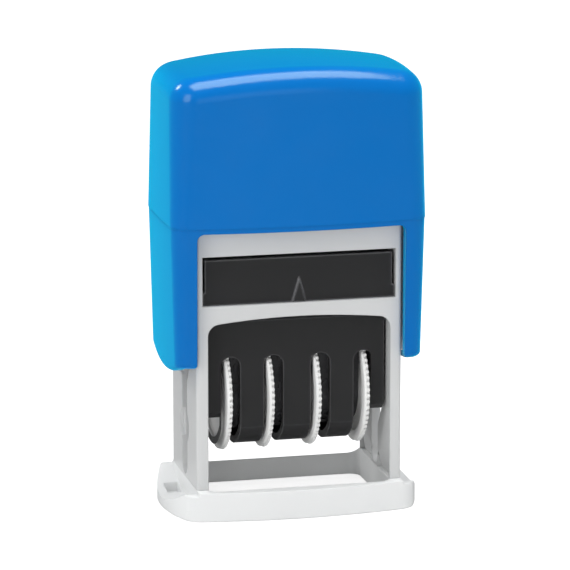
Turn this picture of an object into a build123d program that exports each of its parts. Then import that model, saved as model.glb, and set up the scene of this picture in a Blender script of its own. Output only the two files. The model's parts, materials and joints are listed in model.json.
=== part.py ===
"""Self-inking compact date stamp, modelled piece by piece in millimetres.

Frame: +Z up, the stamp stands on its foot. X runs across the front, -Y is the front.
The origin is on the floor, under the middle of the stamp.
At rest the cap is up and the date carriage hangs upside down from the cap's axle pins,
with its print face against the ink pad. Pressing the cap turns the carriage half round.
"""

import os
from math import cos, hypot, pi, radians, sin, tan

from build123d import *

# Motion
STROKE = 21.0
PRINT_REACH = 7.2
PRINT_GAP = 0.2
AXLE_RADIUS = 2.0
CRANK_REACH = 4.0
CRANK_RADIUS = 1.1
AXLE_Z = STROKE + PRINT_REACH
PRINT_FACE_Z = AXLE_Z + PRINT_REACH
PAD_FACE_Z = PRINT_FACE_Z + PRINT_GAP

# Clearances
RUNNING = 0.06
SLIDING = 0.1
LOOSE = 0.3
GROOVE_PLAY = 0.15

# Foot ring
FOOT_HALF_LENGTH = 21.3
FOOT_HALF_DEPTH = 13.4
FOOT_SIDE_ARC = 91.0
FOOT_END_ARC = 25.0
FOOT_CORNER = 3.2
FOOT_HEIGHT = 4.75
FLANGE_TOP = 4.2
FOOT_FRONT_LIP = 1.7
FOOT_SLOPE = 41.5
FOOT_BAR = 2.3
FOOT_HOLE_CORNER = 2.0
FLANGE_MIDDLE_HEIGHT = 1.6
FLANGE_DIP_RADIUS = 19.6
CLIP_SLOT_LENGTH = 4.0
CLIP_SLOT_WIDTH = 2.3
CLIP_SLOT_DEPTH = 0.9
CLIP_SLOT_Y = 3.0

# Frame housing
WINDOW_TOP = 33.1
WINDOW_ARCH = 120.0
WINDOW_CORNER = 2.0
SWING_RIM = 1.3
SWING_TOP = 32.8
WALL = 1.9
FRAME_SETBACK = 1.2
FRAME_CORNER = 0.6
FRAME_TOP = 48.3
RAIL_HEIGHT = 2.25
BAY_HEIGHT = 8.15
BAY_WALL = 1.03
DECK_THICKNESS = 1.5
DECK_RIM = 1.5
PAD_PORT_SIDE = 0.8
PAD_PORT_HALF_DEPTH = 7.6
CAP_SIDE_ROOM = 4.24
BAY_FLOOR = WINDOW_TOP + RAIL_HEIGHT
BAY_CEILING = BAY_FLOOR + BAY_HEIGHT
DECK_TOP = BAY_CEILING + DECK_THICKNESS
GROOVE_DEPTH = 0.95
RELIEF_DEPTH = 0.6
RELIEF_HALF_WIDTH = 3.5
RELIEF_LOW_Z = 13.4
RELIEF_LOW_HALF_HEIGHT = 3.0
RELIEF_HIGH_Z = 20.8
PANEL_DEPTH = 0.8
PANEL_INNER_Z = 7.8
PANEL_OUTER_Z = 9.9
PANEL_EDGE = 0.4

# Pad cartridge
CARTRIDGE_RECESS = 0.6
CARTRIDGE_SIDE_GAP = 0.5
CARTRIDGE_TOP_GAP = 0.65
CARTRIDGE_LIP_HEIGHT = 2.1
PAD_OVERLAP = 1.3
PAD_HALF_DEPTH = 6.7
PAD_THICKNESS = 3.6
PAD_SIDE_GAP = 0.15
GRIP_HEIGHT = 3.8
GRIP_HALF_WIDTH = 1.15
GRIP_PROUD = 0.3

# Cap
CAP_HALF_WIDTH = 21.34
CAP_HALF_DEPTH = 13.1
CAP_SIDE_ARC = 130.0
CAP_END_ARC = 200.0
CAP_CORNER = 3.2
CAP_TOP_CORNER = 5.2
CAP_LOW_CORNER = 2.7
CAP_BOTTOM = 25.4
CAP_RIM_LOW = 23.4
CAP_RIM_ARC = 24.6
CAP_RIM_EASE = 4.0
CAP_RIM_ROUND = 0.9
CAP_ARM_ROUND = 0.8
CAP_FLARE_DROP = 0.05
CAP_TOP = 74.3
CAP_DOME = 105.0
CAP_TOP_ROUND = 4.0
CAP_BELT_Z = 48.5
CAP_BELT_STEP = 0.08
CAP_TOP_INSET = 0.42
CAP_BOTTOM_INSET = 0.68
CAP_WALL = 1.9
CAP_CEILING = 71.7
CAP_CAVITY_ROUND = 3.0
CAP_WINDOW_RUNOUT = 4.0
CAP_WINDOW_TOP = 47.7
CAP_WINDOW_CORNER = 1.2
CAP_WINDOW_GAP = 0.15
CAP_CAVITY_DRAFT = 0.24

# Yoke inside the cap
YOKE_ARM = 1.2
YOKE_ARM_HALF_DEPTH = 7.0
YOKE_PLATE = 1.6
YOKE_SHOULDER = 3.3
YOKE_INNER_CORNER = 0.3
YOKE_CUP_DEPTH = 0.8

# Return spring
SPRING_RADIUS = 4.0
SPRING_WIRE = 0.6
SPRING_TURNS = 4.5
POST_RADIUS = 2.6

# Date carriage
CARRIAGE_SIDE_GAP = 0.4
CHEEK_THICKNESS = 2.2
CARRIAGE_HALF_DEPTH = 7.5
SHELL_WALL = 1.2
BARREL_RADIUS = 8.8
CARRIAGE_SHOULDER_Z = 32.1
CARRIAGE_TOP_Z = 32.4
CARRIAGE_TOP_HALF_DEPTH = 7.2
CHEEK_BOTTOM_Z = 16.0
CHEEK_BOTTOM_CHAMFER = 1.0
SLOT_WIDTH = 3.2
SLOT_TOP_Z = 26.2
SLOT_SHIFT = (0.52, 0.67, 0.67, -0.23)

# Setting wheels, shaft and bands
WHEEL_RADIUS = 9.8
WHEEL_Z = 18.9
WHEEL_THICKNESS = 0.95
WHEEL_TEETH = 60
TOOTH_DEPTH = 0.35
PLAIN_SHARE = 0.45
SHAFT_RADIUS = 1.0
HUB_RADIUS = 5.3
BAND_THICKNESS = 0.7
BAND_HUB_GAP = 0.1
BAND_CORNER = 1.9
TYPE_HEIGHT = 0.3
TYPE_HALF_HEIGHT = 2.0
BAND_SIDE_GAP = 0.12
WHEEL_PLACE = (-0.91, -0.355, 0.268, 0.911)
BAND_SHARE = (1.0, 1.0, 0.5, 0.5)
BAND_SIDE = (1, 1, 1, -1)

# Print bar and index spring
BAR_HEIGHT = 3.35
BAR_SIDE_GAP = 0.2
LEAF_THICKNESS = 0.4
LEAF_HALF_DEPTH = 2.4
TONGUE_WIDTH = 1.6
TONGUE_GAP = 0.3

# Widths follow the cap's, from the outside in
FRAME_HALF_WIDTH = CAP_HALF_WIDTH - CAP_SIDE_ROOM
WINDOW_HALF_WIDTH = FRAME_HALF_WIDTH - WALL
BAY_HALF_WIDTH = FRAME_HALF_WIDTH - BAY_WALL
CAP_WINDOW_HALF_WIDTH = FRAME_HALF_WIDTH + CAP_WINDOW_GAP
PAD_PORT_HALF_WIDTH = WINDOW_HALF_WIDTH - PAD_PORT_SIDE
CARRIAGE_HALF_WIDTH = WINDOW_HALF_WIDTH - CARRIAGE_SIDE_GAP
CHEEK_INNER_X = CARRIAGE_HALF_WIDTH - CHEEK_THICKNESS
PAD_HALF_WIDTH = CHEEK_INNER_X + PAD_OVERLAP
WHEEL_X = tuple(place * CHEEK_INNER_X for place in WHEEL_PLACE)
SLOT_X = tuple(x + shift for x, shift in zip(WHEEL_X, SLOT_SHIFT))

# Depths follow the foot's, from the outside in
FOOT_HOLE_HALF_DEPTH = FOOT_HALF_DEPTH - FOOT_BAR
FRAME_HALF_DEPTH = FOOT_HOLE_HALF_DEPTH - FRAME_SETBACK
SWING_HALF_DEPTH = FRAME_HALF_DEPTH - SWING_RIM

BAND_RADIUS = HUB_RADIUS + BAND_HUB_GAP + BAND_THICKNESS
BAND_TOP_Z = PRINT_FACE_Z - TYPE_HEIGHT
BAR_TOP_Z = BAND_TOP_Z - BAND_THICKNESS - BAND_HUB_GAP
BAR_HALF_DEPTH = BAND_RADIUS - BAND_THICKNESS - BAR_SIDE_GAP
YOKE_INNER_X = FRAME_HALF_WIDTH + LOOSE
YOKE_OUTER_X = YOKE_INNER_X + YOKE_ARM
YOKE_PLATE_BOTTOM = CAP_CEILING - YOKE_PLATE
BIG = 200.0


def block(x0, x1, y0, y1, z0, z1):
    """A box between two corners."""
    middle = Pos((x0 + x1) / 2, (y0 + y1) / 2, (z0 + z1) / 2)
    return middle * Box(x1 - x0, y1 - y0, z1 - z0)


def along_x(profile, x0, x1):
    """Extrude a profile drawn as (y, z) from x0 to x1."""
    plane = Plane(origin=(x0, 0, 0), x_dir=(0, 1, 0), z_dir=(1, 0, 0))
    return extrude(plane * profile, amount=x1 - x0)


def along_y(profile, y0, y1):
    """Extrude a profile drawn as (x, z) from y0 to y1."""
    plane = Plane(origin=(0, y0, 0), x_dir=(1, 0, 0), z_dir=(0, -1, 0))
    return extrude(plane * profile, amount=y0 - y1)


def rod_x(radius, x0, x1, y, z):
    """A round rod along X."""
    return along_x(Pos(y, z) * Circle(radius), x0, x1)


def bowed_outline(half_length, half_depth, side_arc, end_arc, corner):
    """A rounded rectangle whose four sides bow outwards."""
    outline = Pos(0, side_arc - half_depth) * Circle(side_arc)
    outline &= Pos(0, half_depth - side_arc) * Circle(side_arc)
    outline &= Pos(end_arc - half_length, 0) * Circle(end_arc)
    outline &= Pos(half_length - end_arc, 0) * Circle(end_arc)
    return fillet(outline.vertices(), corner)


def make_foot():
    """The ring that stands on the paper, with a flange at each end."""
    plan = bowed_outline(
        FOOT_HALF_LENGTH, FOOT_HALF_DEPTH, FOOT_SIDE_ARC, FOOT_END_ARC, FOOT_CORNER
    )
    foot = extrude(plan, amount=FOOT_HEIGHT)
    for side in (-1, 1):
        ends = sorted((side * FRAME_HALF_WIDTH, side * (FOOT_HALF_LENGTH + 1)))
        foot -= block(ends[0], ends[1], -BIG, BIG, FLANGE_TOP, FOOT_HEIGHT)
    fall = tan(radians(FOOT_SLOPE))
    for side in (-1, 1):
        top_y = FOOT_HALF_DEPTH - (FOOT_HEIGHT + 1 - FOOT_FRONT_LIP) / fall
        lip_z = FOOT_FRONT_LIP - fall
        wedge = Polygon(
            (side * top_y, FOOT_HEIGHT + 1),
            (side * (FOOT_HALF_DEPTH + 1), lip_z),
            (side * (FOOT_HALF_DEPTH + 1), FOOT_HEIGHT + 1),
            align=None,
        )
        foot -= along_x(wedge, -BIG, BIG)
    dip_z = FLANGE_MIDDLE_HEIGHT + FLANGE_DIP_RADIUS
    for side in (-1, 1):
        ends = sorted((side * FRAME_HALF_WIDTH, side * (FOOT_HALF_LENGTH + 1)))
        foot -= rod_x(FLANGE_DIP_RADIUS, ends[0], ends[1], 0, dip_z)
        slot_x = side * (FRAME_HALF_WIDTH + LOOSE + CLIP_SLOT_WIDTH / 2)
        slot = Box(CLIP_SLOT_WIDTH, CLIP_SLOT_LENGTH, 2 * CLIP_SLOT_DEPTH)
        foot -= Pos(slot_x, -side * CLIP_SLOT_Y, FLANGE_MIDDLE_HEIGHT) * slot
    hole = RectangleRounded(
        2 * WINDOW_HALF_WIDTH, 2 * FOOT_HOLE_HALF_DEPTH, FOOT_HOLE_CORNER
    )
    return foot - extrude(hole, amount=FOOT_HEIGHT + 1)


def crank_point(angle, offset):
    """A point on the crank pin's path in the wall, moved sideways by an offset."""
    drop = STROKE * angle / pi
    y = -CRANK_REACH * sin(angle)
    z = AXLE_Z - drop - CRANK_REACH * cos(angle)
    dy = -CRANK_REACH * cos(angle)
    dz = CRANK_REACH * sin(angle) - STROKE / pi
    length = hypot(dy, dz)
    return (y - offset * dz / length, z + offset * dy / length)


def flip_groove(side):
    """The track in a wall's inner face that the carriage's crank pin runs in."""
    half = CRANK_RADIUS + GROOVE_PLAY
    steps = 12
    angles = [pi * step / steps for step in range(steps + 1)]
    first = Spline(*[crank_point(angle, half) for angle in angles])
    second = Spline(*[crank_point(angle, -half) for angle in reversed(angles)])
    low_end = Line(first @ 1, second @ 0)
    high_end = Line(second @ 1, first @ 0)
    track = make_face(first + low_end + second + high_end)
    for angle in (0, pi):
        track += Pos(*crank_point(angle, 0)) * Circle(half)
    x0 = WINDOW_HALF_WIDTH if side > 0 else -WINDOW_HALF_WIDTH - GROOVE_DEPTH
    return along_x(track, x0, x0 + GROOVE_DEPTH)


def wall_relief(side):
    """Two shallow hollows on a wall's outer face, round the slot."""
    low = Ellipse(RELIEF_HALF_WIDTH, RELIEF_LOW_HALF_HEIGHT)
    tall = AXLE_Z - RELIEF_HIGH_Z
    high = RectangleRounded(2 * RELIEF_HALF_WIDTH, tall, RELIEF_HALF_WIDTH - 0.1)
    profile = Pos(0, RELIEF_LOW_Z) * low
    profile += Pos(0, RELIEF_HIGH_Z + tall / 2) * high
    xs = sorted((side * FRAME_HALF_WIDTH, side * (FRAME_HALF_WIDTH - RELIEF_DEPTH)))
    return along_x(profile, xs[0], xs[1])


def wall_panels(side):
    """The leaning lower panels on a wall's inner face, each side of the slot."""
    face = side * WINDOW_HALF_WIDTH
    deep = face + side * PANEL_DEPTH
    ends = ((AXLE_RADIUS + SLIDING, PANEL_INNER_Z), (FRAME_HALF_DEPTH - PANEL_EDGE, PANEL_OUTER_Z))
    panels = Part()
    for way in (-1, 1):
        sections = []
        for reach, top_z in ends:
            corners = Polygon((face, FOOT_HEIGHT), (face, top_z), (deep, FOOT_HEIGHT), align=None)
            plane = Plane(origin=(0, way * reach, 0), x_dir=(1, 0, 0), z_dir=(0, -1, 0))
            sections.append((plane * corners).face())
        panels += loft(sections, ruled=True)
    return panels


def window_profile():
    """The lower window: an upright opening with a gently arched top."""
    low_z = FOOT_HEIGHT - 1
    tall = WINDOW_TOP - low_z
    upright = Pos(0, low_z + tall / 2) * Rectangle(2 * WINDOW_HALF_WIDTH, tall)
    upright &= Pos(0, WINDOW_TOP - WINDOW_ARCH) * Circle(WINDOW_ARCH)
    corners = upright.vertices().sort_by(Axis.Y)[-2:]
    return fillet(corners, WINDOW_CORNER)


def make_frame():
    """Two side walls joined by the pad bay: rails below, a deck above."""
    plan = RectangleRounded(2 * FRAME_HALF_WIDTH, 2 * FRAME_HALF_DEPTH, FRAME_CORNER)
    frame = Pos(0, 0, FOOT_HEIGHT) * extrude(plan, amount=FRAME_TOP - FOOT_HEIGHT)
    frame -= along_y(window_profile(), BIG, -BIG)
    swing_x = WINDOW_HALF_WIDTH
    swing_y = SWING_HALF_DEPTH
    frame -= block(-swing_x, swing_x, -swing_y, swing_y, FOOT_HEIGHT, SWING_TOP)
    frame -= block(-BAY_HALF_WIDTH, BAY_HALF_WIDTH, -BIG, BIG, BAY_FLOOR, BAY_CEILING)
    port_x = PAD_PORT_HALF_WIDTH
    port_y = PAD_PORT_HALF_DEPTH
    frame -= block(-port_x, port_x, -port_y, port_y, WINDOW_TOP - 1, BAY_FLOOR)
    well_x = FRAME_HALF_WIDTH - DECK_RIM
    well_y = FRAME_HALF_DEPTH - DECK_RIM
    frame -= block(-well_x, well_x, -well_y, well_y, DECK_TOP, FRAME_TOP)
    post = Cylinder(POST_RADIUS, FRAME_TOP - DECK_TOP)
    frame += Pos(0, 0, (FRAME_TOP + DECK_TOP) / 2) * post
    slot_radius = AXLE_RADIUS + SLIDING
    slot_length = STROKE + 2 * slot_radius
    slot = Pos(0, AXLE_Z - STROKE / 2) * Rot(0, 0, 90) * SlotOverall(
        slot_length, 2 * slot_radius
    )
    frame -= along_x(slot, -BIG, BIG)
    for side in (-1, 1):
        frame -= flip_groove(side)
        frame -= wall_relief(side)
        frame -= wall_panels(side)
    return frame


def make_pad_cartridge():
    """The black drawer behind the upper window, open below for the pad."""
    low_z = BAY_FLOOR
    top_z = BAY_CEILING - CARTRIDGE_TOP_GAP
    half_width = BAY_HALF_WIDTH - CARTRIDGE_SIDE_GAP
    front = FRAME_HALF_DEPTH - CARTRIDGE_RECESS
    shell = block(-half_width, half_width, -front, front, low_z, top_z)
    lip_x = BAY_HALF_WIDTH - SLIDING
    lip_z = low_z + CARTRIDGE_LIP_HEIGHT
    shell += block(-lip_x, lip_x, -front, front, low_z, lip_z)
    for side in (-1, 1):
        grip = Polygon(
            (-GRIP_HALF_WIDTH, low_z),
            (GRIP_HALF_WIDTH, low_z),
            (0, low_z + GRIP_HEIGHT),
            align=None,
        )
        face = Plane(origin=(0, side * front, 0), x_dir=(1, 0, 0), z_dir=(0, -1, 0))
        shell += extrude(face * grip, amount=-side * GRIP_PROUD)
    pad_x = PAD_HALF_WIDTH + PAD_SIDE_GAP
    pad_y = PAD_HALF_DEPTH + PAD_SIDE_GAP
    recess_top = PAD_FACE_Z + PAD_THICKNESS
    return shell - block(-pad_x, pad_x, -pad_y, pad_y, low_z, recess_top)


def make_ink_pad():
    """The felt pad in the cartridge."""
    pad = Box(2 * PAD_HALF_WIDTH, 2 * PAD_HALF_DEPTH, PAD_THICKNESS)
    return Pos(0, 0, PAD_FACE_Z + PAD_THICKNESS / 2) * pad


def cap_plan(inset, corner):
    """The cap's outline at its belt, drawn in by an inset."""
    return bowed_outline(
        CAP_HALF_WIDTH - inset,
        CAP_HALF_DEPTH - inset,
        CAP_SIDE_ARC - inset,
        CAP_END_ARC - inset,
        corner,
    )


def drafted(low_plan, low_z, high_plan, high_z):
    """A drafted block between two outlines."""
    low = Pos(0, 0, low_z) * low_plan
    high = Pos(0, 0, high_z) * high_plan
    return loft([low.face(), high.face()], ruled=True)


def rim_profile():
    """The cap's rim seen from the side: flat by the corners and dipped between them."""
    profile = Pos(0, CAP_BOTTOM + BIG / 2) * Rectangle(BIG, BIG)
    profile += Pos(0, CAP_RIM_LOW + CAP_RIM_ARC) * Circle(CAP_RIM_ARC)
    creases = [
        corner
        for corner in profile.vertices()
        if abs(corner.Y - CAP_BOTTOM) < 0.01 and abs(corner.X) < CAP_HALF_DEPTH
    ]
    return fillet(creases, CAP_RIM_EASE)


def is_crease(edge):
    """Whether a rim edge runs across the cap, where the dip meets the flat."""
    box = edge.bounding_box()
    return box.max.Y - box.min.Y < 0.01


def cap_window():
    """The opening in the cap's front and rear, with its arms' tips rounded."""
    low_z = CAP_BOTTOM - CAP_WINDOW_RUNOUT
    window = Pos(0, (CAP_WINDOW_TOP + low_z) / 2) * RectangleRounded(
        2 * CAP_WINDOW_HALF_WIDTH, CAP_WINDOW_TOP - low_z, CAP_WINDOW_CORNER
    )
    flare_z = CAP_BOTTOM - CAP_FLARE_DROP
    reach = CAP_WINDOW_HALF_WIDTH + CAP_ARM_ROUND + CAP_FLARE_DROP
    below = Pos(0, flare_z - CAP_WINDOW_RUNOUT) * Rectangle(2 * reach, 2 * CAP_WINDOW_RUNOUT)
    profile = window + below
    tips = [corner for corner in profile.vertices() if is_tip(corner, flare_z)]
    return fillet(tips, CAP_ARM_ROUND)


def is_tip(corner, flare_z):
    """Whether a corner of the window's profile is at an arm's tip."""
    at_side = abs(abs(corner.X) - CAP_WINDOW_HALF_WIDTH) < 0.01
    return at_side and abs(corner.Y - flare_z) < 0.01


def make_cap_shell():
    """The press cap: a drafted, domed shell with a window front and rear."""
    belt = cap_plan(0, CAP_CORNER)
    top = cap_plan(CAP_TOP_INSET, CAP_TOP_CORNER)
    upper = drafted(belt, CAP_BELT_Z, top, CAP_TOP)
    upper &= Pos(0, 0, CAP_TOP - CAP_DOME) * Sphere(CAP_DOME)
    crown = upper.faces().sort_by(Axis.Z)[-1]
    upper = fillet(crown.edges(), CAP_TOP_ROUND)
    stepped = cap_plan(CAP_BELT_STEP, CAP_CORNER)
    bottom = cap_plan(CAP_BOTTOM_INSET, CAP_LOW_CORNER)
    lower = drafted(bottom, CAP_RIM_LOW, stepped, CAP_BELT_Z)
    lower &= along_x(rim_profile(), -BIG, BIG)
    rim = [edge for edge in lower.edges() if edge.bounding_box().max.Z < CAP_BOTTOM + 0.01]
    lower = fillet([edge for edge in rim if not is_crease(edge)], CAP_RIM_ROUND)
    cavity_plan = bowed_outline(
        CAP_HALF_WIDTH - CAP_WALL - CAP_CAVITY_DRAFT,
        CAP_HALF_DEPTH - CAP_WALL,
        CAP_SIDE_ARC,
        CAP_END_ARC,
        CAP_CORNER - 1,
    )
    cavity_tall = CAP_CEILING - CAP_RIM_LOW
    cavity = Pos(0, 0, CAP_RIM_LOW) * extrude(cavity_plan, amount=cavity_tall)
    ceiling_edges = cavity.edges().group_by(Axis.Z)[-1]
    cavity = fillet(ceiling_edges, CAP_CAVITY_ROUND)
    return upper + lower - cavity - along_y(cap_window(), BIG, -BIG)


def make_cap_yoke():
    """The bridge under the cap's ceiling, with an arm down each side."""
    outer = YOKE_OUTER_X
    depth = YOKE_ARM_HALF_DEPTH
    low_z = CAP_BOTTOM + LOOSE
    tall = CAP_CEILING - low_z
    outside = Pos(0, low_z + tall / 2) * Rectangle(2 * outer, tall)
    shoulders = outside.vertices().sort_by(Axis.Y)[-2:]
    outside = fillet(shoulders, YOKE_SHOULDER)
    inner_tall = YOKE_PLATE_BOTTOM - low_z
    inside = Pos(0, low_z + inner_tall / 2) * Rectangle(2 * YOKE_INNER_X, inner_tall)
    corners = inside.vertices().sort_by(Axis.Y)[-2:]
    inside = fillet(corners, YOKE_INNER_CORNER)
    yoke = along_y(outside - inside, depth, -depth)
    yoke -= rod_x(AXLE_RADIUS, -BIG, BIG, 0, AXLE_Z)
    cup = Cylinder(SPRING_RADIUS + SPRING_WIRE, YOKE_CUP_DEPTH)
    return yoke - Pos(0, 0, YOKE_PLATE_BOTTOM + YOKE_CUP_DEPTH / 2) * cup


def make_axle_pins():
    """The two pins that carry the carriage, one through each wall's slot."""
    pins = []
    for side in (-1, 1):
        xs = sorted((side * (CHEEK_INNER_X + LOOSE), side * YOKE_OUTER_X))
        pins.append(rod_x(AXLE_RADIUS, xs[0], xs[1], 0, AXLE_Z))
    return Compound(children=pins)


def make_return_spring():
    """The coil spring between the frame's deck and the yoke."""
    low_z = DECK_TOP + SPRING_WIRE / 2
    high_z = YOKE_PLATE_BOTTOM + YOKE_CUP_DEPTH - SPRING_WIRE / 2
    height = high_z - low_z
    pitch = height / SPRING_TURNS
    path = Pos(0, 0, low_z) * Helix(pitch, height, SPRING_RADIUS)
    wire = Plane(origin=path @ 0, z_dir=path % 0) * Circle(SPRING_WIRE / 2)
    return sweep(wire, path, is_frenet=True)


def carriage_profile(inset):
    """The carriage's section: a barrel below, straight sides, a shoulder above."""
    half = CARRIAGE_HALF_DEPTH - inset
    top_half = CARRIAGE_TOP_HALF_DEPTH - inset
    sides = Polygon(
        (-half, WHEEL_Z),
        (half, WHEEL_Z),
        (half, CARRIAGE_SHOULDER_Z),
        (top_half, CARRIAGE_TOP_Z),
        (-top_half, CARRIAGE_TOP_Z),
        (-half, CARRIAGE_SHOULDER_Z),
        align=None,
    )
    barrel = Circle(BARREL_RADIUS - inset) & Rectangle(2 * half, 4 * BARREL_RADIUS)
    barrel &= Pos(0, -BARREL_RADIUS) * Rectangle(4 * half, 2 * BARREL_RADIUS)
    return sides + Pos(0, WHEEL_Z) * barrel


def make_carriage_body():
    """The carriage's shell, with a slot for each setting wheel."""
    x = CHEEK_INNER_X
    body = along_x(carriage_profile(0), -x, x)
    body -= along_x(carriage_profile(SHELL_WALL), -x, x)
    mouth = BAND_RADIUS + SLIDING
    body -= block(-x, x, -mouth, mouth, CARRIAGE_SHOULDER_Z - 1, CARRIAGE_TOP_Z)
    slot_low = WHEEL_Z - BARREL_RADIUS - 2
    slot_tall = SLOT_TOP_Z - slot_low
    wheel_space = WHEEL_THICKNESS / 2 + LOOSE
    for slot_x, wheel_x in zip(SLOT_X, WHEEL_X):
        slot = Pos(slot_x, slot_low + slot_tall / 2) * Rot(0, 0, 90) * SlotOverall(
            slot_tall, SLOT_WIDTH
        )
        body -= along_y(slot, BIG, -BIG)
        low_x = wheel_x - wheel_space
        body -= rod_x(WHEEL_RADIUS + LOOSE, low_x, wheel_x + wheel_space, 0, WHEEL_Z)
    return body


def make_cheek(side):
    """An end plate of the carriage, with the axle's bore and the crank pin."""
    xs = sorted((side * CHEEK_INNER_X, side * CARRIAGE_HALF_WIDTH))
    half = CARRIAGE_HALF_DEPTH
    top_half = CARRIAGE_TOP_HALF_DEPTH
    cut = CHEEK_BOTTOM_CHAMFER
    outline = Polygon(
        (-half + cut, CHEEK_BOTTOM_Z),
        (half - cut, CHEEK_BOTTOM_Z),
        (half, CHEEK_BOTTOM_Z + cut),
        (half, CARRIAGE_SHOULDER_Z),
        (top_half, CARRIAGE_TOP_Z),
        (-top_half, CARRIAGE_TOP_Z),
        (-half, CARRIAGE_SHOULDER_Z),
        (-half, CHEEK_BOTTOM_Z + cut),
        align=None,
    )
    cheek = along_x(outline, xs[0], xs[1])
    pin_end = side * (WINDOW_HALF_WIDTH + GROOVE_DEPTH - SLIDING)
    pin = sorted((side * (CARRIAGE_HALF_WIDTH - 0.5), pin_end))
    cheek += rod_x(CRANK_RADIUS, pin[0], pin[1], 0, AXLE_Z - CRANK_REACH)
    cheek -= rod_x(AXLE_RADIUS + RUNNING, xs[0], xs[1], 0, AXLE_Z)
    return cheek - rod_x(SHAFT_RADIUS, xs[0], xs[1], 0, WHEEL_Z)


def make_wheel_shaft():
    """The steel rod that the wheels turn on."""
    end = CARRIAGE_HALF_WIDTH
    return rod_x(SHAFT_RADIUS, -end, end, 0, WHEEL_Z)


def band_span(index):
    """The low and high x of a band, beside its wheel."""
    side = BAND_SIDE[index]
    clear = WHEEL_THICKNESS / 2 + BAND_SIDE_GAP
    near = WHEEL_X[index] + side * clear
    next_wheel = WHEEL_X[index + side] - side * clear
    room = abs(next_wheel - near) - BAND_SIDE_GAP
    return sorted((near, near + side * room * BAND_SHARE[index]))


def toothed_profile(radius):
    """A round blank with small rounded notches all round its rim."""
    blank = Circle(radius)
    pitch = 360 / WHEEL_TEETH
    for tooth in range(WHEEL_TEETH):
        notch = Pos(radius, 0) * Circle(TOOTH_DEPTH)
        blank -= Rot(0, 0, pitch * tooth) * notch
    return blank


def make_setting_wheel(index):
    """A thin wheel: a plain disc, a toothed ring on it and a hub in the band."""
    middle = WHEEL_X[index]
    side = BAND_SIDE[index]
    left = middle - WHEEL_THICKNESS / 2
    right = middle + WHEEL_THICKNESS / 2
    seam = left + WHEEL_THICKNESS * PLAIN_SHARE
    place = Pos(0, WHEEL_Z)
    wheel = along_x(place * Circle(WHEEL_RADIUS - TOOTH_DEPTH), left, seam)
    wheel += along_x(place * toothed_profile(WHEEL_RADIUS), seam, right)
    span = band_span(index)
    hub = (middle, span[1]) if side > 0 else (span[0], middle)
    wheel += rod_x(HUB_RADIUS, hub[0], hub[1], 0, WHEEL_Z)
    return wheel - rod_x(SHAFT_RADIUS + RUNNING, -BIG, BIG, 0, WHEEL_Z)


def band_profile(inset):
    """A band's loop: round the hub below, over the print bar above."""
    half = BAND_RADIUS - inset
    top = BAND_TOP_Z - inset
    tall = top - WHEEL_Z
    upright = Pos(0, WHEEL_Z + tall / 2) * Rectangle(2 * half, tall)
    corners = upright.vertices().sort_by(Axis.Y)[-2:]
    upright = fillet(corners, BAND_CORNER - inset)
    return upright + Pos(0, WHEEL_Z) * Circle(half)


def make_date_band(index):
    """A rubber band with one raised type block at the print face."""
    span = band_span(index)
    band = along_x(band_profile(0), span[0], span[1])
    band -= along_x(band_profile(BAND_THICKNESS), span[0], span[1])
    edge = 0.3
    block_low = BAND_TOP_Z - BAND_THICKNESS / 2
    half = TYPE_HALF_HEIGHT
    return band + block(
        span[0] + edge, span[1] - edge, -half, half, block_low, PRINT_FACE_Z
    )


def make_print_bar():
    """The bar that backs the bands at the print face."""
    x = CHEEK_INNER_X
    half = BAR_HALF_DEPTH
    shape = Pos(0, BAR_TOP_Z - BAR_HEIGHT / 2) * Rectangle(2 * half, BAR_HEIGHT)
    corners = shape.vertices().sort_by(Axis.Y)[-2:]
    shape = fillet(corners, BAND_CORNER - BAND_THICKNESS)
    return along_x(shape, -x, x)


def make_index_spring():
    """The leaf under the print bar, with a tongue over each wheel's hub."""
    x = CHEEK_INNER_X
    top = BAR_TOP_Z - BAR_HEIGHT
    leaf = block(-x, x, -LEAF_HALF_DEPTH, LEAF_HALF_DEPTH, top - LEAF_THICKNESS, top)
    tip = WHEEL_Z + HUB_RADIUS + TONGUE_GAP
    for index in range(len(WHEEL_X)):
        span = band_span(index)
        middle = (span[0] + span[1]) / 2
        x0 = middle - TONGUE_WIDTH / 2
        x1 = middle + TONGUE_WIDTH / 2
        leaf += block(x0, x1, -LEAF_THICKNESS / 2, LEAF_THICKNESS / 2, tip, top)
    return leaf


def save(name, shape):
    """Write one sub-part's STEP file."""
    export_step(shape, f"parts/{name}.step")


os.makedirs("parts", exist_ok=True)
save("foot", make_foot())
save("frame", make_frame())
save("pad_cartridge", make_pad_cartridge())
save("ink_pad", make_ink_pad())
save("cap_shell", make_cap_shell())
save("cap_yoke", make_cap_yoke())
save("axle_pins", make_axle_pins())
save("return_spring", make_return_spring())
save("carriage_body", make_carriage_body())
save("cheek_left", make_cheek(-1))
save("cheek_right", make_cheek(1))
save("wheel_shaft", make_wheel_shaft())
save("print_bar", make_print_bar())
save("index_spring", make_index_spring())
for number in range(len(WHEEL_X)):
    save(f"setting_wheel_{number + 1}", make_setting_wheel(number))
    save(f"date_band_{number + 1}", make_date_band(number))
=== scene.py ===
"""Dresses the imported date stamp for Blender.

It makes the stamp's moulded plastics, beaded wheels, coil spring and date bands, and sets
a plain stage for them.
"""

import json
import math

import bmesh
import bpy
from bpy.props import (
    FloatProperty,
    FloatVectorProperty,
    IntProperty,
    PointerProperty,
    StringProperty,
)
from bpy.types import Operator, Panel, PropertyGroup
from mathutils import Matrix, Vector

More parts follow.
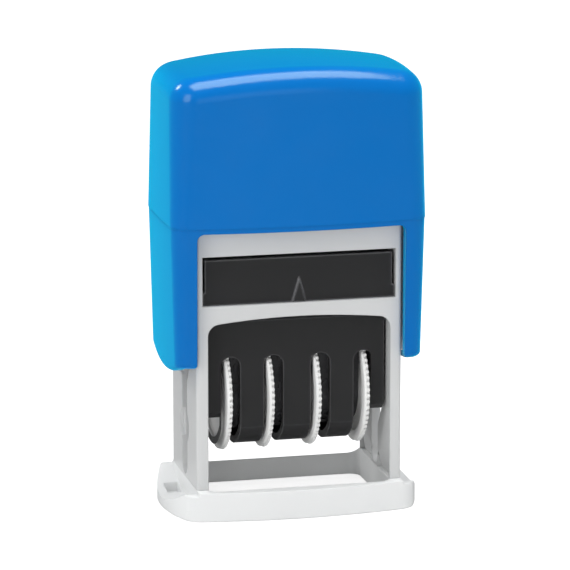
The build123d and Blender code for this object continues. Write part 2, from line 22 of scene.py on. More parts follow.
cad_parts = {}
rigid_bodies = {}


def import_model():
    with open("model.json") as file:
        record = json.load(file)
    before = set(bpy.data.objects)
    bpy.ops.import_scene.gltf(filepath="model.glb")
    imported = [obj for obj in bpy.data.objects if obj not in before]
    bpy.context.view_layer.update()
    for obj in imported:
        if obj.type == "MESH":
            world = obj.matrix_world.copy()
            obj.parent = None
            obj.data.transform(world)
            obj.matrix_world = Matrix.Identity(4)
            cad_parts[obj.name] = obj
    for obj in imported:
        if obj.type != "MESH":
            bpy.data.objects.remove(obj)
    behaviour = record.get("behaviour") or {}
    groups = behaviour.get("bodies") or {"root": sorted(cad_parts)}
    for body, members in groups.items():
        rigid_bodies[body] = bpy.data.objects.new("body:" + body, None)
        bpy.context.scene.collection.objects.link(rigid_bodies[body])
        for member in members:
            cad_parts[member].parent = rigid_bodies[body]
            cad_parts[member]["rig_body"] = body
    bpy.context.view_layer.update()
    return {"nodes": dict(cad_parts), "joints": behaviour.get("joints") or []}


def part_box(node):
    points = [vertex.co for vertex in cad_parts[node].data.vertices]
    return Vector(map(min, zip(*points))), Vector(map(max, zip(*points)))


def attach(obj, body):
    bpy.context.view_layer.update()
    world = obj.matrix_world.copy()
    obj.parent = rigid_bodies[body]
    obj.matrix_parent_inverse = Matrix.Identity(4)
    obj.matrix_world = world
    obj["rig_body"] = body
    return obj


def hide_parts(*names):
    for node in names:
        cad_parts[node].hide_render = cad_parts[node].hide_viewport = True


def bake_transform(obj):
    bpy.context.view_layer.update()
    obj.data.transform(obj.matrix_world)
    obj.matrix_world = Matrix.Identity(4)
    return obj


bl_info = {
    "name": "Date stamp dresser",
    "version": (1, 0, 0),
    "blender": (4, 5, 0),
    "location": "View3D > Sidebar > Stamp",
    "description": "Finishes the pieces of a compact self-inking date stamp and sets its stage",
    "category": "Object",
}

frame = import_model()

# Lengths are in metres and angles in degrees.

# Cleaning a CAD mesh.
WELD_DISTANCE = 2e-6
FLAT_ANGLE = 0.4

# Rounding and shading edges.
ROUNDED_ANGLE = 32.0
CAP_ROUNDED_ANGLE = 25.0
CRISP_ANGLE = 50.0
BEVEL_SEGMENTS = 2
SHADED_EDGE = 0.0003
SHADED_HOUSING_EDGE = 0.00035
ROUNDED_SAMPLES = 6
PIN_EDGE = 0.0002
SHAFT_EDGE = 0.0001
FELT_EDGE = 0.0003
LEAF_EDGE = 0.00005

# Painted edge highlights: edges are painted lighter over a band this wide, standing in for light
# caught by them, kept off the carriage's seams.
EDGE_HIGHLIGHT_WIDTH = 0.0004
EDGE_HIGHLIGHT_STARTS = 0.985
EDGE_HIGHLIGHT_FULL = 0.90
SEAM_SHARE = 1.2
SEAM_TOUCH = 1e-5

# The section of a setting wheel.
WHEELS = 4
WHEEL_STEPS = 120
WHEEL_CRISP_ANGLE = 40.0
CROWN_DROP = 0.00016
CROWN_ROUND = 0.00014
CROWN_SIDE = -0.00004
VALLEY_SIDE = 0.00006
VALLEY_BEADS = 1.5
WEB_DEPTH = 0.0019
WEB_SLOPE = 0.0002
HUB_SLOPE = 0.0003
HUB_RADIUS = 0.0053
BORE_RADIUS = 0.00106
WHEEL_CHAMFER = 0.0001
SHALLOW_RECESS = 0.0002
DEEP_RECESS = 0.00025
BEAD_SEGMENTS = 10
BEAD_RINGS = 6

# How steel's fine lines are stretched along the three axes.
GROUND_LINES = (0.05, 1.0, 1.0)
WIRE_LINES = (1.0, 1.0, 1.0)

# The return spring.
CLOSED_PITCH = 0.98
COIL_STEPS = 40
WIRE_SIDES = 12

# The date bands.
BAND_CORNER = 0.0019
BELT_CORNER = 0.0016
BEND_STEPS = 180
CORNER_STEPS = 40
BELT_BEND_STEPS = 48
BELT_CORNER_STEPS = 8
CHARACTER_HEIGHT = 0.0036
CHARACTER_ROOM = 0.9
FONT_HEIGHT_SHARE = 0.72
FONT_STEPS = 3
BAND_CRISP_ANGLE = 30.0

# The stage.
FLOOR_DROP = 0.00005
FLOOR_SIZE = 4.0
FLOOR_CELLS = 8
FLOOR_TONE = 0.80
FLOOR_IN_REFLECTIONS = 0.06
FLOOR_SEEN_GLOW = 0.72
FLOOR_SEEN_TONE = 0.42
LAMP_AIM = (0.0, 0.0, 0.037)
SENSOR_WIDTH = 36.0
WHITE = (1, 1, 1, 1)


# ---------------------------------------------------------------- helpers


def link(mesh, name):
    """Make an object from a mesh and put it in the scene."""
    piece = bpy.data.objects.new(name, mesh)
    bpy.context.scene.collection.objects.link(piece)
    return piece


def mesh_from(bm, name):
    """Turn a bmesh into a mesh datablock."""
    mesh = bpy.data.meshes.new(name)
    bm.to_mesh(mesh)
    bm.free()
    return mesh


def evaluated_mesh(holder):
    """A new mesh of an object as it stands, with its modifiers applied."""
    bpy.context.view_layer.update()
    graph = bpy.context.evaluated_depsgraph_get()
    return bpy.data.meshes.new_from_object(holder.evaluated_get(graph))


def settle(piece):
    """Apply every modifier by swapping in the evaluated mesh."""
    mesh = evaluated_mesh(piece)
    old = piece.data
    piece.modifiers.clear()
    piece.data = mesh
    bpy.data.meshes.remove(old)


def smooth_by_angle(mesh, degrees):
    """Shade a mesh smooth, and keep the edges sharper than an angle crisp."""
    for face in mesh.polygons:
        face.use_smooth = True
    mesh.set_sharp_from_angle(angle=math.radians(degrees))


def paint(piece, material):
    """Give a piece one material."""
    piece.data.materials.clear()
    piece.data.materials.append(material)


def loft(bm, loops):
    """Join loops of vertices, each to the next and the last to the first."""
    count = len(loops[0])
    for here, there in zip(loops, loops[1:] + loops[:1]):
        for i in range(count):
            j = (i + 1) % count
            bm.faces.new((here[i], here[j], there[j], there[i]))
    bmesh.ops.recalc_face_normals(bm, faces=bm.faces)


def merged_copy(node, name):
    """A welded copy of a CAD node's mesh, with flat areas joined into single faces."""
    bm = bmesh.new()
    bm.from_mesh(frame["nodes"][node].data)
    bmesh.ops.remove_doubles(bm, verts=bm.verts, dist=WELD_DISTANCE)
    bmesh.ops.dissolve_limit(
        bm,
        angle_limit=math.radians(FLAT_ANGLE),
        verts=bm.verts,
        edges=bm.edges,
        delimit=set(),
    )
    return link(mesh_from(bm, name), name)


def weigh_edges(mesh, angle, takes):
    """Weigh the edges sharper than an angle for rounding, where a test takes them."""
    bm = bmesh.new()
    bm.from_mesh(mesh)
    layer = bm.edges.layers.float.new("bevel_weight_edge")
    for edge in bm.edges:
        sharp = edge.is_manifold and edge.calc_face_angle() > math.radians(angle)
        edge[layer] = float(sharp and takes(edge))
    bm.to_mesh(mesh)
    bm.free()


def every_edge(edge):
    """Take each sharp edge for rounding."""
    return True


def soften(piece, width, angle, takes):
    """Round a piece's sharp edges, then shade it smooth with its flat areas kept flat."""
    weigh_edges(piece.data, angle, takes)
    bevel = piece.modifiers.new("edge_round", "BEVEL")
    bevel.width = width
    bevel.segments = BEVEL_SEGMENTS
    bevel.limit_method = "WEIGHT"
    bevel.use_clamp_overlap = True
    settle(piece)
    smooth_by_angle(piece.data, CRISP_ANGLE)
    level = piece.modifiers.new("flat_areas", "WEIGHTED_NORMAL")
    level.mode = "FACE_AREA"
    level.weight = 100
    level.keep_sharp = True
    settle(piece)


def dress(node, material, width, angle=ROUNDED_ANGLE, takes=every_edge):
    """Stand a smooth, edge-rounded skin in place of a CAD node."""
    piece = merged_copy(node, node + "_skin")
    soften(piece, width, angle, takes)
    paint(piece, material)
    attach(piece, frame["nodes"][node]["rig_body"])
    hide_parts(node)


# ------------------------------------------------------------ node trees


def feed(tree, node, inputs):
    """Give a node its inputs. Each is a value, or another node's output to be linked."""
    for name, value in inputs.items():
        if isinstance(value, bpy.types.NodeSocket):
            tree.links.new(value, node.inputs[name])
        else:
            node.inputs[name].default_value = value


def add(tree, kind, inputs=None, **settings):
    """Add a node to a tree, with its settings and its inputs."""
    node = tree.nodes.new(kind)
    for name, value in settings.items():
        setattr(node, name, value)
    feed(tree, node, inputs or {})
    return node


def maths(tree, operation, *values, clamp=False):
    """A sum over values or outputs."""
    inputs = dict(enumerate(values))
    node = add(tree, "ShaderNodeMath", inputs, operation=operation, use_clamp=clamp)
    return node.outputs["Value"]


def geometry_group(name, inputs):
    """A geometry group: its tree, its input and output nodes, and its inputs' own keys."""
    tree = bpy.data.node_groups.new(name, "GeometryNodeTree")
    sockets = tree.interface
    sockets.new_socket("Geometry", in_out="INPUT", socket_type="NodeSocketGeometry")
    keys = {}
    for label, kind in inputs.items():
        socket = sockets.new_socket(label, in_out="INPUT", socket_type="NodeSocket" + kind)
        keys[label] = socket.identifier
    sockets.new_socket("Geometry", in_out="OUTPUT", socket_type="NodeSocketGeometry")
    return tree, add(tree, "NodeGroupInput"), add(tree, "NodeGroupOutput"), keys


def finish_group(tree, geometry, start, end):
    """Make a group's geometry real, coat it with the group's material and send it out."""
    real = add(tree, "GeometryNodeRealizeInstances", {"Geometry": geometry})
    coated = {"Geometry": real.outputs["Geometry"], "Material": start.outputs["Material"]}
    coat = add(tree, "GeometryNodeSetMaterial", coated)
    feed(tree, end, {"Geometry": coat.outputs["Geometry"]})


def add_group(piece, name, tree, values):
    """Run a geometry group on a piece, with values under its inputs' keys."""
    modifier = piece.modifiers.new(name, "NODES")
    modifier.node_group = tree
    for key, value in values.items():
        modifier[key] = value
    settle(piece)


# -------------------------------------------------------------- materials


def new_material(name):
    """A fresh node material, with its tree, its shader and its object coordinates."""
    material = bpy.data.materials.new(name)
    material.use_nodes = True
    tree = material.node_tree
    coords = add(tree, "ShaderNodeTexCoord").outputs["Object"]
    return material, tree, tree.nodes["Principled BSDF"], coords


def noise(tree, coords, scale, detail, roughness):
    """A noise texture on given coordinates."""
    inputs = {"Vector": coords, "Scale": scale, "Detail": detail, "Roughness": roughness}
    return add(tree, "ShaderNodeTexNoise", inputs).outputs["Fac"]


def grey(level):
    """A plain grey."""
    return (level, level, level)


def shade(colour, factor):
    """A colour made lighter or darker."""
    return tuple(min(1.0, max(0.0, channel * factor)) for channel in colour)


def ramp(tree, value, *stops):
    """A colour ramp over a value, between two stops of a place and a colour."""
    node = add(tree, "ShaderNodeValToRGB", {"Fac": value})
    for element, (place, colour) in zip(node.color_ramp.elements, stops):
        element.position = place
        element.color = (*colour, 1)
    return node.outputs["Color"]


def rounded(tree, radius):
    """A normal that turns softly over every edge."""
    node = add(tree, "ShaderNodeBevel", {"Radius": radius}, samples=ROUNDED_SAMPLES)
    return node.outputs["Normal"]


def bump(tree, height, strength, distance, over=None):
    """A bump from a height, laid over a given normal."""
    inputs = {"Height": height, "Strength": strength, "Distance": distance}
    if over:
        inputs["Normal"] = over
    return add(tree, "ShaderNodeBump", inputs).outputs["Normal"]


def painted_edge_highlights(tree, coords, tint, edge_highlight, seam=None):
    """A tint that turns to a lighter colour along a piece's edges, but not at its seam: a painted
    highlight standing in for light caught by the edges.
    """
    plain = add(tree, "ShaderNodeNewGeometry").outputs["Normal"]
    normals = {0: rounded(tree, EDGE_HIGHLIGHT_WIDTH), 1: plain}
    match = add(tree, "ShaderNodeVectorMath", normals, operation="DOT_PRODUCT")
    share = ramp(tree, match.outputs["Value"], (EDGE_HIGHLIGHT_FULL, grey(1)), (EDGE_HIGHLIGHT_STARTS, grey(0)))
    if seam:
        place = add(tree, "ShaderNodeSeparateXYZ", {"Vector": coords})
        side = maths(tree, "ABSOLUTE", place.outputs["X"])
        at_seam = maths(tree, "COMPARE", side, seam, EDGE_HIGHLIGHT_WIDTH * SEAM_SHARE)
        share = maths(tree, "SUBTRACT", share, at_seam, clamp=True)
    inputs = {"Factor": share, "A": tint, "B": (*edge_highlight, 1)}
    return add(tree, "ShaderNodeMix", inputs, data_type="RGBA").outputs["Result"]


def moulded_plastic(
    name, colour, roughness, grain=0.15, variation=0.03, edge=0.0, glow=None, edge_highlight=None, seam=None
):
    """Injection-moulded plastic: an even colour, faint flow marks and a fine tool grain."""
    material, tree, shader, coords = new_material(name)
    flow = noise(tree, coords, scale=38.0, detail=4.0, roughness=0.55)
    stops = (0.3, shade(colour, 1 - variation)), (0.7, shade(colour, 1 + variation))
    tint = ramp(tree, flow, *stops)
    # Painted highlight: the edges turn lighter than the plastic's own colour.
    if edge_highlight:
        tint = painted_edge_highlights(tree, coords, tint, edge_highlight, seam)
    wear = noise(tree, coords, scale=160.0, detail=5.0, roughness=0.6)
    stops = (0.35, grey(roughness * 0.9)), (0.65, grey(roughness * 1.12))
    rough = ramp(tree, wear, *stops)
    fine = noise(tree, coords, scale=2600.0, detail=2.0, roughness=0.5)
    turned = rounded(tree, edge) if edge else None
    normal = bump(tree, fine, strength=grain, distance=0.00002, over=turned)
    feed(tree, shader, {"Base Color": tint, "Roughness": rough, "Normal": normal, "IOR": 1.5})
    if glow:
        sheen = {"Sheen Weight": 1.0, "Sheen Roughness": 0.4, "Sheen Tint": (*glow, 1)}
        feed(tree, shader, {**sheen, "Specular Tint": (0.8, 1.0, 0.85, 1)})
    return material


def felt(name, colour):
    """Dense felt soaked with ink: short fibres, deep blotches and a damp sheen."""
    material, tree, shader, coords = new_material(name)
    blotch = noise(tree, coords, scale=420.0, detail=6.0, roughness=0.6)
    tint = ramp(tree, blotch, (0.3, shade(colour, 0.6)), (0.7, shade(colour, 1.7)))
    fibre = noise(tree, coords, scale=3200.0, detail=8.0, roughness=0.75)
    normal = bump(tree, fibre, strength=0.9, distance=0.00012)
    feed(tree, shader, {"Base Color": tint, "Roughness": 0.85, "Normal": normal})
    feed(tree, shader, {"Sheen Weight": 0.3})
    return material


def rubber(name, colour):
    """Vulcanised rubber: matte, with a dusty bloom."""
    material, tree, shader, coords = new_material(name)
    bloom = noise(tree, coords, scale=220.0, detail=6.0, roughness=0.65)
    tint = ramp(tree, bloom, (0.35, colour), (0.75, shade(colour, 1.9)))
    fine = noise(tree, coords, scale=3600.0, detail=3.0, roughness=0.6)
    normal = bump(tree, fine, strength=0.4, distance=0.00003)
    feed(tree, shader, {"Base Color": tint, "Roughness": 0.7, "Normal": normal})
    return material


def drawn_steel(name, colour, stretch):
    """Drawn or ground steel: fine lines along one axis and a soft sheen."""
    material, tree, shader, coords = new_material(name)
    mapping = add(tree, "ShaderNodeMapping", {"Scale": stretch, "Vector": coords})
    lines = noise(tree, mapping.outputs["Vector"], scale=1500.0, detail=4.0, roughness=0.6)
    tint = ramp(tree, lines, (0.3, shade(colour, 0.82)), (0.7, shade(colour, 1.1)))
    rough = ramp(tree, lines, (0.3, grey(0.22)), (0.7, grey(0.38)))
    normal = bump(tree, lines, strength=0.15, distance=0.00001)
    feed(tree, shader, {"Base Color": tint, "Roughness": rough, "Normal": normal})
    feed(tree, shader, {"Metallic": 1.0})
    return material


# ------------------------------------------------------------- properties


def colour_property(name, description, default):
    """A linear colour setting."""
    return FloatVectorProperty(
        name=name,
        description=description,
        subtype="COLOR",
        size=3,
        min=0.0,
        max=1.0,
        default=default,
    )


def length_property(name, description, default):
    """A length setting in metres."""
    return FloatProperty(
        name=name,
        description=description,
        subtype="DISTANCE",
        unit="LENGTH",
        min=0.0,
        precision=5,
        default=default,
    )


def number_property(name, description, default, **limits):
    """A plain number setting, within limits if there are any."""
    return FloatProperty(name=name, description=description, default=default, **limits)


def share_property(name, description, default):
    """A setting between 0 and 1."""
    return number_property(name, description, default, min=0.0, max=1.0)


def count_property(name, description, default, low, high):
    """A whole number setting."""
    return IntProperty(name=name, description=description, default=default, min=low, max=high)


def text_property(name, description, default):
    """A text setting."""
    return StringProperty(name=name, description=description, default=default)


class StampFinishSettings(PropertyGroup):
    """Colours and gloss of the pieces."""

    cap_colour: colour_property("Cap colour", "Blue of the press cap", (0.0, 0.138, 0.475))
    cap_glow: colour_property("Cap glow", "Sheen where the cap turns away", (0.0, 0.67, 1.0))
    housing_colour: colour_property("Housing colour", "Pale grey of the foot", (0.77, 0.78, 0.78))
    yoke_colour: colour_property(
        "Yoke colour", "Grey of the bridge inside the cap", (0.60, 0.61, 0.62)
    )
    dark_colour: colour_property(
        "Dark colour", "Near-black of the cartridge and carriage", (0.028, 0.028, 0.029)
    )
    wheel_colour: colour_property(
        "Wheel colour", "White of the setting wheels", (0.80, 0.80, 0.79)
    )
    ink_colour: colour_property("Ink colour", "Ink-soaked felt of the pad", (0.010, 0.010, 0.030))
    band_colour: colour_property("Band colour", "Rubber of the date bands", (0.030, 0.030, 0.032))
    steel_colour: colour_property(
        "Steel colour", "Spring, shaft and index leaf", (0.56, 0.56, 0.55)
    )
    # Painted shade: the frame is the foot's plastic, painted darker to stand in for the shade
    # under the cap.
    frame_painted_shade: share_property("Frame painted shade", "Share of the foot's grey in the frame", 0.79)
    cap_roughness: share_property("Cap roughness", "Roughness of the cap", 0.19)
    housing_roughness: share_property("Housing roughness", "Roughness of frame and foot", 0.36)
    yoke_roughness: share_property("Yoke roughness", "Roughness of the bridge and pins", 0.45)
    dark_roughness: share_property("Dark roughness", "Roughness of the dark pieces", 0.34)
    wheel_roughness: share_property("Wheel roughness", "Roughness of the wheels", 0.38)
    # Painted edge highlights: how much lighter the cartridge's and carriage's edges are painted,
    # standing in for light caught by them.
    cartridge_edge_highlight: number_property(
        "Cartridge edge highlight", "How much lighter the cartridge's edges are", 9.0, min=1.0
    )
    carriage_edge_highlight: number_property(
        "Carriage edge highlight", "How much lighter the carriage's edges are", 3.0, min=1.0
    )


class StampEdgeSettings(PropertyGroup):
    """How far moulded edges are rounded."""

    cap_edge: length_property("Cap edge", "Rounding of the cap's fine edges", 0.0002)
    housing_edge: length_property(
        "Housing edge", "Rounding of the frame's and foot's edges", 0.00035
    )
    dark_edge: length_property(
        "Dark edge", "Rounding of the cartridge's and carriage's edges", 0.00018
    )


class StampWheelSettings(PropertyGroup):
    """The beaded rims of the setting wheels."""

    teeth: count_property("Teeth", "Beads round each wheel", 60, 12, 120)
    bead_radius: length_property("Bead radius", "Radius of one rim bead", 0.00040)
    bead_length: length_property(
        "Bead length", "Length of one rim bead along the shaft", 0.00064
    )


class StampSpringSettings(PropertyGroup):
    """The return spring's coil."""

    turns: number_property("Turns", "Active turns of the coil", 4.5, min=1.0, max=20.0)
    end_turns: number_property("End turns", "Closed turns at each end", 1.0, min=0.0, max=3.0)
    wire: length_property("Wire", "Diameter of the spring wire", 0.0006)


class StampBandSettings(PropertyGroup):
    """The raised characters on the date bands."""

    first: text_property("First band", "Characters printed by the first band", "24")
    second: text_property("Second band", "Characters printed by the second band", "06")
    third: text_property("Third band", "Character printed by the third band", "2")
    fourth: text_property("Fourth band", "Character printed by the fourth band", "5")
    relief: length_property("Relief", "Height of the raised characters", 0.0003)
    thickness: length_property(
        "Thickness", "Thickness of the rubber under the characters", 0.00045
    )
    stations: count_property("Stations", "Characters round each band", 12, 4, 31)


class StampStageSettings(PropertyGroup):
    """Camera and lamps."""

    camera_azimuth: number_property("Azimuth", "Turn of the camera in degrees", -13.247)
    camera_elevation: number_property("Elevation", "Tilt of the camera in degrees", 12.776)
    camera_distance: length_property("Distance", "From the camera to its target", 0.610907)
    camera_lens: number_property("Lens", "Focal length in millimetres", 234.96)
    target_height: length_property("Target height", "Height of the point looked at", 0.036036)
    target_side: number_property("Target side", "Side place of the point looked at", -0.00012)
    key_power: number_property("Key power", "Power of the key lamp in watts", 1.6)
    rim_power: number_property("Rim power", "Power of the rim lamp in watts", 1.8)
    fill_power: number_property("Fill power", "Power of the fill lamp in watts", 0.3)
    top_power: number_property("Top power", "Power of the top lamp in watts", 5.9)
    ambient: number_property("Ambient", "Strength of the surrounding light", 0.52)
    mirrored: number_property("Mirrored", "Strength of the surroundings in reflections", 0.03)


# ---------------------------------------------------- cap and housing


class STAMP_OT_cap(Operator):
    """Dress the press cap, and the yoke and pins inside it"""

    bl_idname = "stamp.cap"
    bl_label = "Dress the cap"

    def execute(self, context):
        finish = context.scene.stamp_finish
        edges = context.scene.stamp_edges
        blue = moulded_plastic(
            "gloss_blue_plastic",
            finish.cap_colour,
            finish.cap_roughness,
            grain=0.05,
            variation=0.015,
            edge=SHADED_EDGE,
            glow=finish.cap_glow,
        )
        dress("cap_shell", blue, edges.cap_edge, angle=CAP_ROUNDED_ANGLE)
        dull = moulded_plastic("yoke_plastic", finish.yoke_colour, finish.yoke_roughness)
        dress("cap_yoke", dull, edges.housing_edge)
        dress("axle_pins", dull, PIN_EDGE)
        return {"FINISHED"}


class STAMP_OT_housing(Operator):
    """Dress the frame and the foot ring it stands on"""

    bl_idname = "stamp.housing"
    bl_label = "Dress the housing"

    def execute(self, context):
        finish = context.scene.stamp_finish
        edges = context.scene.stamp_edges
        # Painted shade: the frame gets a darker copy of the foot's grey, standing in for the
        # shade it lies in; the foot keeps the plain grey.
        painted_shades = {
            "frame": ("frame_painted_shade_plastic", finish.frame_painted_shade),
            "foot": ("pale_grey_plastic", 1.0),
        }
        for node, (name, share) in painted_shades.items():
            pale = moulded_plastic(
                name,
                shade(finish.housing_colour, share),
                finish.housing_roughness,
                grain=0.12,
                variation=0.012,
                edge=SHADED_HOUSING_EDGE,
            )
            dress(node, pale, edges.housing_edge)
        return {"FINISHED"}


# --------------------------------------------- cartridge and carriage


class STAMP_OT_cartridge(Operator):
    """Dress the ink cartridge and its felt pad"""

    bl_idname = "stamp.cartridge"
    bl_label = "Dress the cartridge"

    def execute(self, context):
        finish = context.scene.stamp_finish
        edges = context.scene.stamp_edges
        dark = moulded_plastic(
            "cartridge_plastic",
            finish.dark_colour,
            finish.dark_roughness,
            grain=0.2,
            edge=SHADED_EDGE,
            # Painted highlight along the cartridge's edges.
            edge_highlight=shade(finish.dark_colour, finish.cartridge_edge_highlight),
        )
        dress("pad_cartridge", dark, edges.dark_edge)
        dress("ink_pad", felt("inked_felt", finish.ink_colour), FELT_EDGE)
        return {"FINISHED"}


class STAMP_OT_carriage(Operator):
    """Dress the date carriage: shell, cheeks, print bar, index leaf and shaft"""

    bl_idname = "stamp.carriage"
    bl_label = "Dress the carriage"

    def execute(self, context):
        finish = context.scene.stamp_finish
        edges = context.scene.stamp_edges
        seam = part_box("carriage_body")[1].x
        dark = moulded_plastic(
            "carriage_plastic",
            finish.dark_colour,
            finish.dark_roughness,
            grain=0.2,
            # Painted highlight along the carriage's edges, kept off its seams.
            edge_highlight=shade(finish.dark_colour, finish.carriage_edge_highlight),
            seam=seam,
        )

        def off_seam(edge):
            """Take no edge where a cheek meets the shell."""
            return not all(abs(abs(vert.co.x) - seam) < SEAM_TOUCH for vert in edge.verts)

        for node in ("carriage_body", "cheek_left", "cheek_right"):
            dress(node, dark, edges.dark_edge, takes=off_seam)
        dress("print_bar", dark, edges.dark_edge)
        steel = drawn_steel("ground_steel", finish.steel_colour, GROUND_LINES)
        dress("wheel_shaft", steel, SHAFT_EDGE)
        dress("index_spring", steel, LEAF_EDGE)
        return {"FINISHED"}


# ---------------------------------------------------------------- wheels


def wheel_axis(number):
    """The wheel joint's centre, from the frame's own joints."""
    for joint in frame["joints"]:
        if joint["name"] == f"wheel_{number}_turn":
            return Vector(joint["pos_m"])
    raise RuntimeError("no joint for wheel " + str(number))


def spun(profile, steps, name):
    """Spin a closed (x, radius) profile round the X axis."""
    bm = bmesh.new()
    rings = []
    for step in range(steps):
        angle = 2 * math.pi * step / steps
        sine, cosine = math.sin(angle), math.cos(angle)
        rings.append([bm.verts.new((x, r * sine, r * cosine)) for x, r in profile])
    loft(bm, rings)
    return mesh_from(bm, name)


def wheel_profile(outer, half, hub_end, bead):
    """A wheel's section as (x, radius): a crowned rim, a web, and a hub to one side."""
    crown = outer - CROWN_DROP
    valley = outer - bead * VALLEY_BEADS
    web = outer - WEB_DEPTH
    shoulder = HUB_RADIUS - WHEEL_CHAMFER
    hub_on_right = hub_end > 0
    rim = [
        (-half, web),
        (-half, crown - CROWN_ROUND),
        (-half + CROWN_ROUND / 3, crown - CROWN_ROUND / 3),
        (-half + CROWN_ROUND, crown),
        (CROWN_SIDE, crown),
        (VALLEY_SIDE, valley),
        (half - WHEEL_CHAMFER, valley),
        (half, valley - WHEEL_CHAMFER),
        (half, web),
    ]
    face = half - (DEEP_RECESS if hub_on_right else SHALLOW_RECESS)
    right = [(face, web - WEB_SLOPE), (face, HUB_RADIUS + HUB_SLOPE), (half, HUB_RADIUS)]
    if hub_on_right:
        hub = [
            (hub_end - WHEEL_CHAMFER, HUB_RADIUS),
            (hub_end, shoulder),
            (hub_end, BORE_RADIUS),
            (-half, BORE_RADIUS),
        ]
    else:
        hub = [
            (half, BORE_RADIUS),
            (hub_end, BORE_RADIUS),
            (hub_end, shoulder),
            (hub_end + WHEEL_CHAMFER, HUB_RADIUS),
        ]
    face = -half + (SHALLOW_RECESS if hub_on_right else DEEP_RECESS)
    left = [(-half, HUB_RADIUS), (face, HUB_RADIUS + HUB_SLOPE), (face, web - WEB_SLOPE)]
    return rim + right + hub + left


def beaded_rim_tree():
    """A geometry group that sets rounded beads round a rim and joins them to the wheel."""
    tree, start, end, keys = geometry_group(
        "toothed_rim",
        {
            "Teeth": "Int",
            "Rim radius": "Float",
            "Bead radius": "Float",
            "Bead length": "Float",
            "Side": "Float",
            "Material": "Material",
        },
    )
    given = start.outputs
    on_side = (0.0, math.radians(90), 0.0)

    ring = {"Vertices": given["Teeth"], "Radius": given["Rim radius"]}
    circle = add(tree, "GeometryNodeMeshCircle", ring, fill_type="NONE")
    shift = add(tree, "ShaderNodeCombineXYZ", {"X": given["Side"]})
    turned = {
        "Geometry": circle.outputs["Mesh"],
        "Translation": shift.outputs["Vector"],
        "Rotation": on_side,
    }
    places = add(tree, "GeometryNodeTransform", turned)

    ball = {"Segments": BEAD_SEGMENTS, "Rings": BEAD_RINGS, "Radius": 1.0}
    sphere = add(tree, "GeometryNodeMeshUVSphere", ball)
    radius = given["Bead radius"]
    half_length = maths(tree, "MULTIPLY", given["Bead length"], 0.5)
    size = add(tree, "ShaderNodeCombineXYZ", {"X": radius, "Y": radius, "Z": half_length})
    stretched = {
        "Geometry": sphere.outputs["Mesh"],
        "Scale": size.outputs["Vector"],
        "Rotation": on_side,
    }
    bead = add(tree, "GeometryNodeTransform", stretched)

    spread = {"Points": places.outputs["Geometry"], "Instance": bead.outputs["Geometry"]}
    beads = add(tree, "GeometryNodeInstanceOnPoints", spread)
    join = add(tree, "GeometryNodeJoinGeometry", {"Geometry": given["Geometry"]})
    feed(tree, join, {"Geometry": beads.outputs["Instances"]})
    finish_group(tree, join.outputs["Geometry"], start, end)
    return tree, keys


class STAMP_OT_wheels(Operator):
    """Make the setting wheels with their beaded rims"""

    bl_idname = "stamp.wheels"
    bl_label = "Make the setting wheels"

    def execute(self, context):
        finish = context.scene.stamp_finish
        settings = context.scene.stamp_wheels
        bead, length = settings.bead_radius, settings.bead_length
        white = moulded_plastic(
            "wheel_plastic",
            finish.wheel_colour,
            finish.wheel_roughness,
            grain=0.1,
            variation=0.01,
        )
        tree, keys = beaded_rim_tree()
        for number in range(1, WHEELS + 1):
            node = f"setting_wheel_{number}"
            axis = wheel_axis(number)
            low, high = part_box(node)
            outer = (high.z - low.z) / 2
            reaches = (low.x - axis.x, high.x - axis.x)
            hub_end = max(reaches, key=abs)
            half = min(abs(reach) for reach in reaches)
            profile = wheel_profile(outer, half, hub_end, bead)
            piece = link(spun(profile, WHEEL_STEPS, node + "_skin"), node + "_skin")
            values = {
                "Teeth": settings.teeth,
                "Rim radius": outer - bead,
                "Bead radius": bead,
                "Bead length": length,
                "Side": half - length / 2,
                "Material": white,
            }
            keyed = {keys[label]: value for label, value in values.items()}
            add_group(piece, "beads", tree, keyed)
            piece.data.transform(Matrix.Translation(axis))
            smooth_by_angle(piece.data, WHEEL_CRISP_ANGLE)
            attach(piece, f"wheel_{number}")
            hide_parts(node)
        return {"FINISHED"}


# ---------------------------------------------------------------- spring


def coil_tree():
    """A geometry group that carries a round wire along a spring's centre line."""
    inputs = {"Wire radius": "Float", "Material": "Material"}
    tree, start, end, keys = geometry_group("spring_wire", inputs)
    line = add(tree, "GeometryNodeMeshToCurve", {"Mesh": start.outputs["Geometry"]})
    section = {"Resolution": WIRE_SIDES, "Radius": start.outputs["Wire radius"]}
    ring = add(tree, "GeometryNodeCurvePrimitiveCircle", section)
    swept = {
        "Curve": line.outputs["Curve"],
        "Profile Curve": ring.outputs["Curve"],
        "Fill Caps": True,
    }
    tube = add(tree, "GeometryNodeCurveToMesh", swept)
    finish_group(tree, tube.outputs["Mesh"], start, end)
    return tree, keys


def coil_line(radius, bottom, top, turns, closed, pitch):
    """Points of a helix with closed turns at its ends: bottom up, at even angles."""
    total = turns + 2 * closed
    low = bottom + pitch * closed
    high = top - pitch * closed
    steps = int(total * COIL_STEPS)
    points = []
    for step in range(steps + 1):
        turn = total * step / steps
        if turn < closed:
            z = bottom + pitch * turn
        elif turn > total - closed:
            z = top - pitch * (total - turn)
        else:
            z = low + (high - low) * (turn - closed) / turns
        angle = 2 * math.pi * turn
        points.append((radius * math.cos(angle), radius * math.sin(angle), z))
    return points


